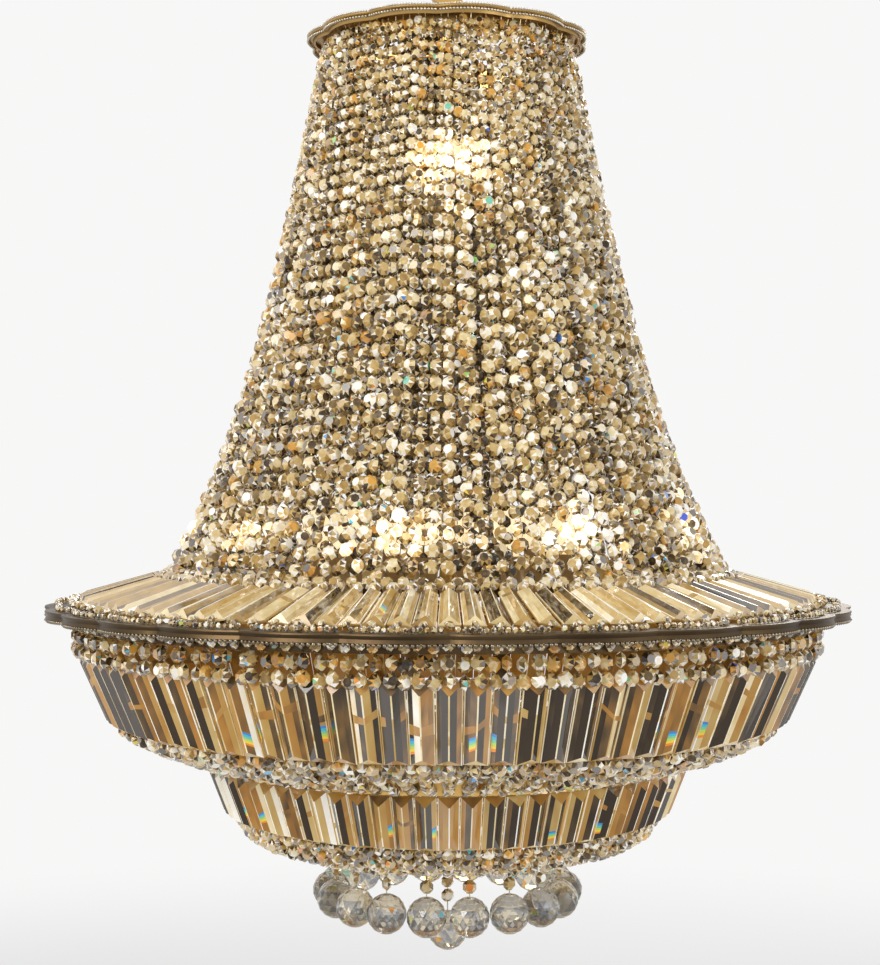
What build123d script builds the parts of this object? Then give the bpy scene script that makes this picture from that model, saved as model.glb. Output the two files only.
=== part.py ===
from build123d import *

import os
from math import atan, cos, hypot, radians, sin

os.makedirs("parts", exist_ok=True)

# Crystal basket chandelier, in millimetres, +Z up.
# The origin is the centre of the hanging eye, and the front of the chandelier faces -Y.
# A piece that repeats round the stem is made once towards +X, then copied round.

# ---------------------------------------------------------------- driving sizes

# Heights, each counted down from the piece above it
eye_to_crown = 60.0  # eye centre to the underside of the crown collar
crown_to_rim = 565.0  # crown collar to the underside of the rim collar
rim_to_mid = 146.0  # rim collar to the middle of the mid ring
mid_to_bottom = 93.5  # middle of the mid ring to the middle of the bottom ring

# Rings rolled from strip, to their outer faces, and drawn with flats
crown_radius = 121.5
rim_radius = 369.0
upper_step = 136.0  # rim band out beyond the mid ring
bottom_radius = 118.5
strip = 2.5
crown_band_height = 18.0
rim_band_height = 16.0
mid_ring_height = 14.0
bottom_ring_height = 14.0
ring_flat_count = 40
mid_flat_count = 48
bottom_flat_count = 36

# Scalloped collars of sheet
collar_sheet = 2.0
crown_lobes = 12
crown_collar_reach = 15.5  # cusps of the collar out beyond its band
crown_lobe_rise = 10.5  # crest of a lobe beyond the line between its cusps
rim_lobes = 28
rim_collar_reach = 24.0
rim_lobe_rise = 9.5
lobe_chords = 4  # straight cuts that draw a lobe's arc
crown_lip_height = 6.0  # a collar's edge is folded down to a lip
rim_lip_height = 7.5

# Spiders between the stem and the rings
crown_arms = 5
rim_arms = 10
bottom_arms = 6
arm_width = 10.0
arm_depth = 5.0
hub_wall = 9.0
hub_height = 16.0

# Stem and hanging eye
stem_radius = 8.0
stem_wall = 1.5
eye_bore_radius = 14.0
eye_wall = 7.0
eye_thickness = 10.0
eye_neck = 12.0
eye_flat_count = 12

# Lower lamps, one on each rim arm
lamp_circle = 130.0
holder_radius = 13.0
holder_height = 58.0
bulb_radius = 20.0
bulb_height = 46.0
lamp_flat_count = 6

# Upper lamps, round the stem
upper_lamps = 3
upper_lamp_drop = 160.0  # crown collar to the plate that the upper lamps stand on
upper_circle = 30.0
upper_plate_radius = 62.0
upper_plate_sheet = 4.0
upper_holder_radius = 11.0
upper_holder_height = 30.0
upper_bulb_radius = 17.0
upper_bulb_height = 40.0

# Curtain of bead strands from the crown to the rim
strands_per_lobe = 7
strand_width = 7.0
strand_depth = 5.0
strand_spans = 4
bend_crowding = 1.4  # above 1 it brings a strand's bends closer together near its foot
canopy_reach = 92.0  # rim band out beyond the curtain's foot
curtain_head_drop = 10.0  # crown collar to the head of the curtain
curtain_foot_rise = 39.0  # foot of the curtain above the rim collar's underside
hang_straight = 0.68  # share of the spread that is even, the rest is the flare
hang_flare = 3.9  # power of the flare
strands_per_node = 14

# Canopy prisms from the curtain's foot out to the rim
canopy_columns = 112
canopy_width = 14.5
canopy_depth = 9.0
canopy_inset = 2.0  # head of a prism in from the curtain's foot
canopy_overlap = 7.0  # foot of a prism over the rim collar

# Upper basket
upper_columns = 96
bead_size = 14.0
bead_thickness = 7.0
bead_rows = 2
prism_width = 19.0
prism_depth = 9.0
prism_bevel = 4.0
prism_set_in = 7.0  # back of a prism's head in from the beads above it
upper_prism_length = 78.0
upper_lean = 24.0  # degrees that a prism leans in below

# Lower basket
lower_columns = 72
lower_prism_width = 15.5
lower_prism_length = 54.0
lower_lean = 21.2
bowl_step = 14.0  # foot of the prisms out beyond the turn from steep to flat
bowl_rise = 12.0  # that turn above the bottom ring's middle
chain_width = 10.0
chain_depth = 7.0
chain_rise = 7.2  # end of a bottom chain above the bottom ring's middle

# Ribs behind the crystals, and the band across the upper ones
ribs = 5
rib_width = 8.0
rib_depth = 3.0
rib_inset = 8.0
basket_band_drop = 72.0  # rim collar to the middle of the band
basket_band_height = 9.0

# Hanging drops, each on a bar left under a window in the strip
ring_drops = 18
ball_radius = 19.6
ball_flat_count = 8
drop_length = 43.0  # pivot to the centre of a ball
centre_ball_radius = 20.0
centre_drop_length = 63.5
centre_bead_count = 2
hook_wire = 1.2
hook_reach = 7.0  # pivot to the foot of a hook
hook_bar = 3.0
window_width = 6.0
window_height = 4.4
nut_radius = 15.0
nut_height = 8.0
tab_width = 12.0

# Clearances
seat = 0.3  # between pieces that hang on or lie against each other
slip = 0.05  # between the stem and what slides on it

# ---------------------------------------------------------------- places that follow

crown_z = -eye_to_crown
rim_z = crown_z - crown_to_rim
mid_z = rim_z - rim_to_mid
bottom_z = mid_z - mid_to_bottom
mid_radius = rim_radius - upper_step
curtain_foot_radius = rim_radius - canopy_reach
hub_radius = stem_radius + hub_wall
stem_top = -(eye_bore_radius + eye_wall + eye_neck)
stem_foot = bottom_z - hub_height / 2
rim_arm_z = rim_z - rim_band_height / 2
strands = crown_lobes * strands_per_lobe

front = -90.0  # direction of the front, in degrees round from +X
rim_turn = front - 9.0  # the rim arms stand a little to the left of the front
crown_turn = front - 36.0
bottom_turn = front + 40.0
drop_turn = front + 180.0 / ring_drops
crown_lobe_turn = front + 11.0
rim_lobe_turn = front + 180.0 / rim_lobes  # a cusp faces the front


# ---------------------------------------------------------------- shapes used more than once


def flat_of(radius, flats):
    """Distance from the stem to the middle of a flat on a ring of this radius."""
    return radius * cos(radians(180 / flats))


def ring(radius, flats, height, z):
    """A band rolled from strip, with its outer face at radius and its middle at z."""
    with BuildPart() as band:
        with BuildSketch(Plane.XY.offset(z - height / 2)):
            RegularPolygon(radius, flats, rotation=180 / flats)
            RegularPolygon(radius - strip, flats, rotation=180 / flats, mode=Mode.SUBTRACT)
        extrude(amount=height)
    return band.part


def scalloped_disc(lobes, first_turn, cusp_radius, rise):
    """A level outline of outward lobes that meet in cusps."""
    half = radians(180 / lobes)
    reach = cusp_radius * sin(half)
    lobe_radius = (reach**2 + rise**2) / (2 * rise)
    lobe_centre = cusp_radius * cos(half) + rise - lobe_radius
    swing = 2 * atan(rise / reach)
    edge = []
    for chord in range(lobe_chords + 1):
        turn = 2 * swing * (chord / lobe_chords - 0.5)
        edge.append((lobe_centre + lobe_radius * cos(turn), lobe_radius * sin(turn)))
    with BuildSketch() as disc:
        with PolarLocations(0, lobes, start_angle=first_turn):
            Polygon((0, 0), *edge, align=None)
    return disc.sketch


def scalloped_collar(lobes, first_turn, band_radius, reach_out, rise, lip_height, z):
    """A sheet collar round the bore of a band, its underside at z, with lobes that end in a lip."""
    outline = scalloped_disc(lobes, first_turn, band_radius + reach_out, rise)
    inside_lip = scalloped_disc(lobes, first_turn, band_radius + reach_out - collar_sheet, rise)
    with BuildPart() as collar:
        with BuildSketch(Plane.XY.offset(z)):
            add(outline)
            RegularPolygon(
                band_radius - strip, ring_flat_count, rotation=180 / ring_flat_count, mode=Mode.SUBTRACT
            )
        extrude(amount=collar_sheet)
        with BuildSketch(Plane.XY.offset(z + collar_sheet - lip_height)):
            add(outline)
            add(inside_lip, mode=Mode.SUBTRACT)
        extrude(amount=lip_height)
    return collar.part


def spider(arms, reach, z, first_turn):
    """A hub on the stem with flat arms out to a ring whose flats are at reach."""
    with BuildPart() as web:
        with BuildSketch(Plane.XY.offset(z - hub_height / 2)):
            RegularPolygon(hub_radius, arms, rotation=first_turn + 180 / arms)
        extrude(amount=hub_height)
        with BuildSketch(Plane.XY.offset(z - arm_depth / 2)):
            with PolarLocations(0, arms, start_angle=first_turn):
                with Locations((reach / 2, 0)):
                    Rectangle(reach, arm_width)
        extrude(amount=arm_depth)
        with BuildSketch(Plane.XY.offset(z - hub_height / 2)):
            Circle(stem_radius + slip)
        extrude(amount=hub_height, mode=Mode.SUBTRACT)
    return web.part


def cut_stone(outlines):
    """A solid with flat facets between level outlines, each with as many corners as the next."""
    count = len(outlines[0])
    facets = [Face(Wire.make_polygon(outlines[0])), Face(Wire.make_polygon(outlines[-1]))]
    for lower, upper in zip(outlines, outlines[1:]):
        for corner in range(count):
            after = (corner + 1) % count
            facets.append(Face(Wire.make_polygon([lower[corner], lower[after], upper[after], upper[corner]])))
    return Solid(Shell(facets))


def corners(radius, flats, x, z):
    """Corners of a level polygon with its middle at x and z."""
    turns = [radians((corner + 0.5) * 360 / flats) for corner in range(flats)]
    return [Vector(x + radius * cos(turn), radius * sin(turn), z) for turn in turns]


def baguette(length, width, lean, radius, z):
    """A prism with bevelled sides and ends, the back of its head at radius and z, leaning in below."""
    up = (sin(radians(lean)), 0, cos(radians(lean)))
    outward = (cos(radians(lean)), 0, -sin(radians(lean)))
    place = Plane(origin=(radius, 0, z), x_dir=up, z_dir=outward)
    outlines = []
    for depth, bevel in ((0, 0), (prism_depth, prism_bevel)):
        side = width / 2 - bevel
        ends = ((-bevel, side), (-bevel, -side), (bevel - length, -side), (bevel - length, side))
        outlines.append([place.from_local_coords(Vector(end, across, depth)) for end, across in ends])
    with BuildPart() as prism:
        add(cut_stone(outlines))
    return prism.part


def crystal_bar(start, end, width, depth):
    """A three-sided bar from start to end, both as radius and height, its ridge turned out."""
    run = Vector(end[0] - start[0], 0, end[1] - start[1])
    with BuildPart() as bar:
        with BuildSketch(Plane(origin=(start[0], 0, start[1]), x_dir=(0, 1, 0), z_dir=run)):
            Polygon((-width / 2, 0), (width / 2, 0), (0, depth), align=None)
        extrude(amount=run.length)
    return bar.part


def bead(radius, z):
    """A bead with four facets to the front and four to the back, its middle at radius and z."""
    girdle = Plane(origin=(radius, 0, z), x_dir=(0, 1, 0), z_dir=(1, 0, 0))
    with BuildPart() as stone:
        with BuildSketch(girdle) as outline:
            RegularPolygon(bead_size / 2, 4)
        loft([Vertex(radius - bead_thickness / 2, 0, z), outline.sketch.face()])
        loft([outline.sketch.face(), Vertex(radius + bead_thickness / 2, 0, z)])
    return stone.part


def lamp_holder(circle, radius, height, z):
    """A cup that stands on its arm or plate at z."""
    with BuildPart() as holder:
        with BuildSketch(Plane.XY.offset(z)):
            with Locations((circle, 0)):
                RegularPolygon(radius, lamp_flat_count)
        extrude(amount=height)
    return holder.part


def bulb(circle, radius, height, z):
    """A bulb that stands in its holder at z: it widens from a neck and closes to a crown."""
    outlines = []
    for rise, share in ((0, 0.45), (0.55, 1.0), (1.0, 0.35)):
        outlines.append(corners(radius * share, lamp_flat_count, circle, z + height * rise))
    with BuildPart() as glass:
        add(cut_stone(outlines))
    return glass.part


def hanging_drop(pivot_radius, pivot_z, radius, length, beads):
    """A squared wire hook round its bar, then beads on pins, then a faceted ball."""
    hook_gap = hypot(hook_bar, strip) / 2 + seat
    hook_top = hook_gap + hook_wire
    foot = pivot_z - hook_reach
    with BuildPart() as drop:
        with BuildSketch(Plane.XZ.offset(-hook_wire / 2)):
            with Locations((pivot_radius, (pivot_z + hook_top + foot) / 2)):
                Rectangle(2 * hook_top, hook_top + hook_reach)
            with Locations((pivot_radius, (pivot_z + hook_gap + foot + hook_wire) / 2)):
                Rectangle(2 * hook_gap, hook_gap + hook_reach - hook_wire, mode=Mode.SUBTRACT)
        extrude(amount=hook_wire)
        for row in range(beads):
            add(bead(pivot_radius, foot - seat - bead_size / 2 - row * (bead_size + seat)))
        centre = pivot_z - length
        pin_top = foot - seat - beads * (bead_size + seat)
        pin_foot = centre + radius + seat
        with BuildSketch(Plane.XY.offset(pin_foot)):
            with Locations((pivot_radius, 0)):
                Rectangle(2 * hook_wire, 2 * hook_wire)
        extrude(amount=pin_top - pin_foot)
        outlines = []
        for rise, share in ((-1.0, 0.3), (-0.4, 1.0), (0.4, 1.0), (1.0, 0.3)):
            outlines.append(corners(radius * share, ball_flat_count, pivot_radius, centre + radius * rise))
        add(cut_stone(outlines))
    return drop.part


def copies_round(piece, count, first_turn):
    """The piece, made towards +X, copied evenly round the stem."""
    with BuildPart() as group:
        with PolarLocations(0, count, start_angle=first_turn):
            add(piece)
    return group.part


# ---------------------------------------------------------------- eye and stem

with BuildPart() as hanging_eye:
    with BuildSketch(Plane.XZ.offset(-eye_thickness / 2)):
        RegularPolygon(
            eye_bore_radius + eye_wall, eye_flat_count, major_radius=False, rotation=180 / eye_flat_count
        )
        with Locations((0, stem_top / 2)):
            Rectangle(eye_thickness, -stem_top)
        Circle(eye_bore_radius, mode=Mode.SUBTRACT)
    extrude(amount=eye_thickness)
    with BuildSketch(Plane.XY.offset(stem_top)):
        RegularPolygon(stem_radius + stem_wall, 6)
    extrude(amount=eye_neck / 2)
hanging_eye.part.label = "hanging_eye"
export_step(hanging_eye.part, "parts/hanging_eye.step")

with BuildPart() as center_stem:
    with BuildSketch(Plane.XY.offset(stem_foot)):
        Circle(stem_radius)
        Circle(stem_radius - stem_wall, mode=Mode.SUBTRACT)
    extrude(amount=stem_top - stem_foot)
center_stem.part.label = "center_stem"
export_step(center_stem.part, "parts/center_stem.step")

# ---------------------------------------------------------------- crown

crown_band_z = crown_z - crown_band_height / 2
with BuildPart() as crown_band:
    add(ring(crown_radius, ring_flat_count, crown_band_height, crown_band_z))
crown_band.part.label = "crown_band"
export_step(crown_band.part, "parts/crown_band.step")

with BuildPart() as crown_collar:
    crown_edge = (crown_collar_reach, crown_lobe_rise, crown_lip_height)
    add(scalloped_collar(crown_lobes, crown_lobe_turn, crown_radius, *crown_edge, crown_z))
crown_collar.part.label = "crown_collar"
export_step(crown_collar.part, "parts/crown_collar.step")

with BuildPart() as crown_spider:
    add(spider(crown_arms, flat_of(crown_radius - strip, ring_flat_count), crown_band_z, crown_turn))
crown_spider.part.label = "crown_spider"
export_step(crown_spider.part, "parts/crown_spider.step")

# ---------------------------------------------------------------- rim

with BuildPart() as rim_band:
    add(ring(rim_radius, ring_flat_count, rim_band_height, rim_arm_z))
rim_band.part.label = "rim_band"
export_step(rim_band.part, "parts/rim_band.step")

with BuildPart() as rim_collar:
    rim_edge = (rim_collar_reach, rim_lobe_rise, rim_lip_height)
    add(scalloped_collar(rim_lobes, rim_lobe_turn, rim_radius, *rim_edge, rim_z))
rim_collar.part.label = "rim_collar"
export_step(rim_collar.part, "parts/rim_collar.step")

with BuildPart() as rim_spider:
    add(spider(rim_arms, flat_of(rim_radius - strip, ring_flat_count), rim_arm_z, rim_turn))
rim_spider.part.label = "rim_spider"
export_step(rim_spider.part, "parts/rim_spider.step")

# ---------------------------------------------------------------- mid and bottom rings

with BuildPart() as mid_ring:
    add(ring(mid_radius, mid_flat_count, mid_ring_height, mid_z))
mid_ring.part.label = "mid_ring"
export_step(mid_ring.part, "parts/mid_ring.step")

pivot_z = bottom_z - bottom_ring_height / 2 + hook_bar / 2
pivot_radius = flat_of(bottom_radius - strip / 2, bottom_flat_count)
with BuildPart() as bottom_ring:
    add(ring(bottom_radius, bottom_flat_count, bottom_ring_height, bottom_z))
    with BuildSketch(Plane.XY.offset(pivot_z + hook_bar / 2)):
        with PolarLocations(0, ring_drops, start_angle=drop_turn):
            with Locations((pivot_radius, 0)):
                Rectangle(3 * strip, window_width)
    extrude(amount=window_height, mode=Mode.SUBTRACT)
bottom_ring.part.label = "bottom_ring"
export_step(bottom_ring.part, "parts/bottom_ring.step")

with BuildPart() as bottom_spider:
    add(spider(bottom_arms, flat_of(bottom_radius - strip, bottom_flat_count), bottom_z, bottom_turn))
bottom_spider.part.label = "bottom_spider"
export_step(bottom_spider.part, "parts/bottom_spider.step")

# The nut under the stem ends in a tab with a window, and the centre drop hangs on the tab's bar.
tab_foot = stem_foot - nut_height - window_height - hook_bar - nut_height / 2
centre_pivot_z = tab_foot + hook_bar / 2
with BuildPart() as stem_nut:
    with BuildSketch(Plane.XY.offset(stem_foot - nut_height)):
        RegularPolygon(nut_radius, 6)
    extrude(amount=nut_height)
    with BuildSketch(Plane.XZ.offset(-strip / 2)):
        with Locations((0, (stem_foot - nut_height + tab_foot) / 2)):
            Rectangle(tab_width, stem_foot - nut_height - tab_foot)
        with Locations((0, tab_foot + hook_bar + window_height / 2)):
            Rectangle(window_width, window_height, mode=Mode.SUBTRACT)
    extrude(amount=strip)
stem_nut.part.label = "stem_nut"
export_step(stem_nut.part, "parts/stem_nut.step")

# ---------------------------------------------------------------- lamps

holder_z = rim_arm_z + arm_depth / 2
with BuildPart() as lamp_holders:
    add(copies_round(lamp_holder(lamp_circle, holder_radius, holder_height, holder_z), rim_arms, rim_turn))
lamp_holders.part.label = "lamp_holders"
export_step(lamp_holders.part, "parts/lamp_holders.step")

bulb_z = holder_z + holder_height
with BuildPart() as bulbs:
    add(copies_round(bulb(lamp_circle, bulb_radius, bulb_height, bulb_z), rim_arms, rim_turn))
bulbs.part.label = "bulbs"
export_step(bulbs.part, "parts/bulbs.step")

upper_plate_z = crown_z - upper_lamp_drop
with BuildPart() as upper_lamp_plate:
    with BuildSketch(Plane.XY.offset(upper_plate_z - upper_plate_sheet)) as plate_outline:
        RegularPolygon(upper_plate_radius, upper_lamps, rotation=front)
        chamfer(plate_outline.vertices(), upper_holder_radius)
        Circle(stem_radius + slip, mode=Mode.SUBTRACT)
    extrude(amount=upper_plate_sheet)
upper_lamp_plate.part.label = "upper_lamp_plate"
export_step(upper_lamp_plate.part, "parts/upper_lamp_plate.step")

upper_holder = lamp_holder(upper_circle, upper_holder_radius, upper_holder_height, upper_plate_z)
with BuildPart() as upper_holders:
    add(copies_round(upper_holder, upper_lamps, front))
upper_holders.part.label = "upper_lamp_holders"
export_step(upper_holders.part, "parts/upper_lamp_holders.step")

upper_bulb_z = upper_plate_z + upper_holder_height
with BuildPart() as upper_bulbs:
    upper_bulb = bulb(upper_circle, upper_bulb_radius, upper_bulb_height, upper_bulb_z)
    add(copies_round(upper_bulb, upper_lamps, front))
upper_bulbs.part.label = "upper_bulbs"
export_step(upper_bulbs.part, "parts/upper_bulbs.step")

# ---------------------------------------------------------------- curtain of strands

curtain_head_radius = crown_radius + seat + strand_depth
curtain_head_z = crown_z - curtain_head_drop
curtain_foot_z = rim_z + curtain_foot_rise


def hang(share):
    """Radius and height of a strand's outer edge at a share of its way down: straight, then flared."""
    spread = hang_straight * share + (1 - hang_straight) * share**hang_flare
    radius = curtain_head_radius + (curtain_foot_radius - curtain_head_radius) * spread
    return radius, curtain_head_z + (curtain_foot_z - curtain_head_z) * share


with BuildPart() as strand:
    for bend in range(strand_spans + 1):
        edge, height = hang(1 - (1 - bend / strand_spans) ** bend_crowding)
        with BuildSketch(Plane.XY.offset(height)):
            Polygon(
                (edge, -strand_width / 2), (edge, strand_width / 2), (edge - strand_depth, 0), align=None
            )
    loft(ruled=True)

strand_step = 360 / strands
for group in range(strands // strands_per_node):
    first = front + (group * strands_per_node + 0.5) * strand_step
    with BuildPart() as curtain:
        with PolarLocations(0, strands_per_node, first, strands_per_node * strand_step):
            add(strand.part)
    curtain.part.label = f"curtain_strands_{group + 1}"
    export_step(curtain.part, f"parts/{curtain.part.label}.step")

# ---------------------------------------------------------------- canopy

canopy_head = (curtain_foot_radius - canopy_inset, curtain_foot_z - canopy_depth - seat)
canopy_foot = (rim_radius + canopy_overlap - strip, rim_z + collar_sheet + seat)
with BuildPart() as canopy_prisms:
    canopy_prism = crystal_bar(canopy_head, canopy_foot, canopy_width, canopy_depth)
    add(copies_round(canopy_prism, canopy_columns, front))
canopy_prisms.part.label = "canopy_prisms"
export_step(canopy_prisms.part, "parts/canopy_prisms.step")

# ---------------------------------------------------------------- upper basket

# The beads hang in rows below the rim band's edge.
bead_head_radius = flat_of(rim_radius - strip / 2, ring_flat_count)
bead_drop = bead_size + seat
first_bead_z = rim_z - rim_band_height - seat - bead_size / 2
with BuildPart() as upper_beads:
    for row in range(bead_rows):
        stone = bead(bead_head_radius, first_bead_z - row * bead_drop)
        add(copies_round(stone, upper_columns, front))
upper_beads.part.label = "upper_basket_beads"
export_step(upper_beads.part, "parts/upper_basket_beads.step")

# A prism's sloping head comes up to the last bead's foot, part of the way across its depth.
last_bead_foot = first_bead_z - (bead_rows - 1) * bead_drop - bead_size / 2
upper_back = bead_head_radius - prism_set_in
upper_way = radians(upper_lean)
upper_depth_share = prism_set_in / (prism_depth * cos(upper_way))
upper_head_fall = upper_depth_share * (prism_depth * sin(upper_way) + prism_bevel * cos(upper_way))
upper_head_z = last_bead_foot - seat + upper_head_fall
upper_prism = baguette(upper_prism_length, prism_width, upper_lean, upper_back, upper_head_z)
with BuildPart() as upper_prisms:
    add(copies_round(upper_prism, upper_columns, front))
upper_prisms.part.label = "upper_basket_prisms"
export_step(upper_prisms.part, "parts/upper_basket_prisms.step")

upper_foot = (
    upper_back - upper_prism_length * sin(upper_way),
    upper_head_z - upper_prism_length * cos(upper_way) - seat,
)
chain_end = (mid_radius + seat, mid_z + mid_ring_height / 2 - chain_depth)
with BuildPart() as upper_chains:
    add(copies_round(crystal_bar(upper_foot, chain_end, chain_width, chain_depth), upper_columns, front))
upper_chains.part.label = "upper_basket_chains"
export_step(upper_chains.part, "parts/upper_basket_chains.step")

# ---------------------------------------------------------------- lower basket

lower_way = radians(lower_lean)
lower_head = (mid_radius + seat, mid_z - mid_ring_height / 2 - seat)
lower_prism = baguette(lower_prism_length, lower_prism_width, lower_lean, lower_head[0], lower_head[1])
with BuildPart() as lower_prisms:
    add(copies_round(lower_prism, lower_columns, front))
lower_prisms.part.label = "lower_basket_prisms"
export_step(lower_prisms.part, "parts/lower_basket_prisms.step")

# Each bottom chain falls from a prism to the bowl's turn, then runs flat to the bottom ring.
lower_foot = (
    lower_head[0] - lower_prism_length * sin(lower_way),
    lower_head[1] - lower_prism_length * cos(lower_way) - seat,
)
bowl_turn = (lower_foot[0] - bowl_step, bottom_z + bowl_rise)
ring_end = (bottom_radius + seat, bottom_z + chain_rise)
with BuildPart() as lower_chains:
    add(copies_round(crystal_bar(lower_foot, bowl_turn, chain_width, chain_depth), lower_columns, front))
    turn_end = (bowl_turn[0] - seat, bowl_turn[1])
    add(copies_round(crystal_bar(turn_end, ring_end, chain_width, chain_depth), lower_columns, front))
lower_chains.part.label = "lower_basket_chains"
export_step(lower_chains.part, "parts/lower_basket_chains.step")

# ---------------------------------------------------------------- ribs behind the crystals


def rib(*points):
    """A flat bar bent through points given as radius and height."""
    with BuildPart() as bar:
        with BuildLine() as route:
            Polyline(*[(radius, 0, height) for radius, height in points])
        with BuildSketch(Plane(origin=route.line @ 0, x_dir=(0, 1, 0), z_dir=route.line % 0)):
            Rectangle(rib_width, rib_depth)
        sweep(path=route.line, transition=Transition.RIGHT)
    return bar.part


rim_inside = flat_of(rim_radius - strip, ring_flat_count)
mid_inside = flat_of(mid_radius - strip, mid_flat_count)
rib_head = (rim_inside - rib_depth, rim_arm_z - (arm_depth + rib_depth) / 2)
rib_shoulder = (upper_back - rib_inset, upper_head_z)
rib_knee = (upper_foot[0] - rib_inset, upper_foot[1] + rib_inset)
rib_foot = (mid_inside, mid_z + mid_ring_height / 2 + rib_depth)
with BuildPart() as upper_ribs:
    add(copies_round(rib(rib_head, rib_shoulder, rib_knee, rib_foot), ribs, rim_turn))
upper_ribs.part.label = "upper_basket_ribs"
export_step(upper_ribs.part, "parts/upper_basket_ribs.step")

# The band lies inside the upper ribs, its lower edge against them.
band_foot = rim_z - basket_band_drop - basket_band_height / 2
rib_run = (rib_shoulder[0] - rib_knee[0], rib_shoulder[1] - rib_knee[1])
rib_back = rib_depth / 2 * hypot(*rib_run) / rib_run[1]
band_inside_rib = rib_knee[0] + rib_run[0] * (band_foot - rib_knee[1]) / rib_run[1] - rib_back - seat
band_radius = band_inside_rib / flat_of(1, ring_flat_count)
with BuildPart() as basket_band:
    add(ring(band_radius, ring_flat_count, basket_band_height, rim_z - basket_band_drop))
basket_band.part.label = "basket_band"
export_step(basket_band.part, "parts/basket_band.step")

low_head = (mid_inside - rib_depth / 2 - seat, mid_z + mid_ring_height / 2)
low_shoulder = (mid_inside - rib_depth / 2 - seat, mid_z - mid_ring_height / 2)
low_knee = (lower_foot[0] - rib_inset, lower_foot[1])
low_turn = (bowl_turn[0] - rib_inset, bowl_turn[1] + rib_inset / 2)
low_foot = (bottom_radius - strip, bottom_z + bottom_ring_height / 2 + rib_depth / 2 + seat)
with BuildPart() as lower_ribs:
    add(copies_round(rib(low_head, low_shoulder, low_knee, low_turn, low_foot), ribs, rim_turn))
lower_ribs.part.label = "lower_basket_ribs"
export_step(lower_ribs.part, "parts/lower_basket_ribs.step")

# ---------------------------------------------------------------- hanging drops

ring_drop = hanging_drop(pivot_radius, pivot_z, ball_radius, drop_length, 1)
for number in range(ring_drops):
    with BuildPart() as ball_drop:
        with PolarLocations(0, 1, drop_turn + number * 360 / ring_drops):
            add(ring_drop)
    ball_drop.part.label = f"ball_drop_{number + 1:02d}"
    export_step(ball_drop.part, f"parts/{ball_drop.part.label}.step")

with BuildPart() as centre_drop:
    with Locations(Rotation(0, 0, front)):
        add(hanging_drop(0, centre_pivot_z, centre_ball_radius, centre_drop_length, centre_bead_count))
centre_drop.part.label = "centre_drop"
export_step(centre_drop.part, "parts/centre_drop.step")
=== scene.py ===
# %% [markdown]
# A crystal basket chandelier, dressed for a picture.
# The rings, spiders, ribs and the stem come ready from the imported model, which is the frame.
# Everything that glitters is made here, stone by stone, where the frame has only plain bars.

# %% Load the frame
import math
import random

import bpy
import numpy as np
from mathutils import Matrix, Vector


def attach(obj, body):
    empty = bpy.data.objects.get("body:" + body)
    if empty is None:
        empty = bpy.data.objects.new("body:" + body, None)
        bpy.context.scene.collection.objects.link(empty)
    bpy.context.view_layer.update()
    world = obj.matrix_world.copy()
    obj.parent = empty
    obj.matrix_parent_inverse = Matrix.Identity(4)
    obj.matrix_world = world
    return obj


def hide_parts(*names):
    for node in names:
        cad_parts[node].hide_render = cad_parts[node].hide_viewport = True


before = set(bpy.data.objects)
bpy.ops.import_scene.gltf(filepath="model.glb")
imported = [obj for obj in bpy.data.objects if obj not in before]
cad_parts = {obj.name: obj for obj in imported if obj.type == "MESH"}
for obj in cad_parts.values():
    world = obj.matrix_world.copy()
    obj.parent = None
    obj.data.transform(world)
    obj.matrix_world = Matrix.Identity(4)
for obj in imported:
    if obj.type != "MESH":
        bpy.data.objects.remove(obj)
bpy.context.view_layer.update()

MM = 0.001

# %% [markdown]
# The camera looks level from the front, a little below the chandelier's middle, so the crown
# is seen from below and the rim from above. A long lens could stand further off, but the
# ellipses of the crown and the rings fit only a camera about 1.7 m away.

# %% Camera
PICTURE_HEIGHT = 965
camera_data = bpy.data.cameras.new("camera")
camera_data.lens = 64.24
camera_data.sensor_width = 36
camera_data.shift_y = 7.5 / PICTURE_HEIGHT
camera = bpy.data.objects.new("camera", camera_data)
camera.location = (-0.0076, -1.739, -0.510)
camera.rotation_euler = (math.radians(90), 0, 0)
bpy.context.collection.objects.link(camera)
bpy.context.scene.camera = camera
print("camera at", tuple(round(number, 3) for number in camera.location))

# %% [markdown]
# Shader nodes read badly as a long list of links. Here a Wire wraps one socket and takes part
# in Python sums: each operator adds its Math node. A Sheet holds the nodes of one material,
# and its node() takes the node's type, its settings, and the values or wires of its sockets.


# %% Wires and sheets
class Wire:
    """A shader socket that can stand in Python sums."""

    def __init__(self, sheet, socket):
        self.sheet = sheet
        self.socket = socket

    def sum(self, operation, other, turned=False):
        """A Math node on this wire and another wire or number; turned swaps the two."""
        pair = (other, self) if turned else (self, other)
        return self.sheet.node("ShaderNodeMath", {"operation": operation}, enumerate(pair))

    def __add__(self, other):
        return self.sum("ADD", other)

    def __sub__(self, other):
        return self.sum("SUBTRACT", other)

    def __rsub__(self, other):
        return self.sum("SUBTRACT", other, turned=True)

    def __mul__(self, other):
        return self.sum("MULTIPLY", other)

    __radd__ = __add__
    __rmul__ = __mul__


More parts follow.
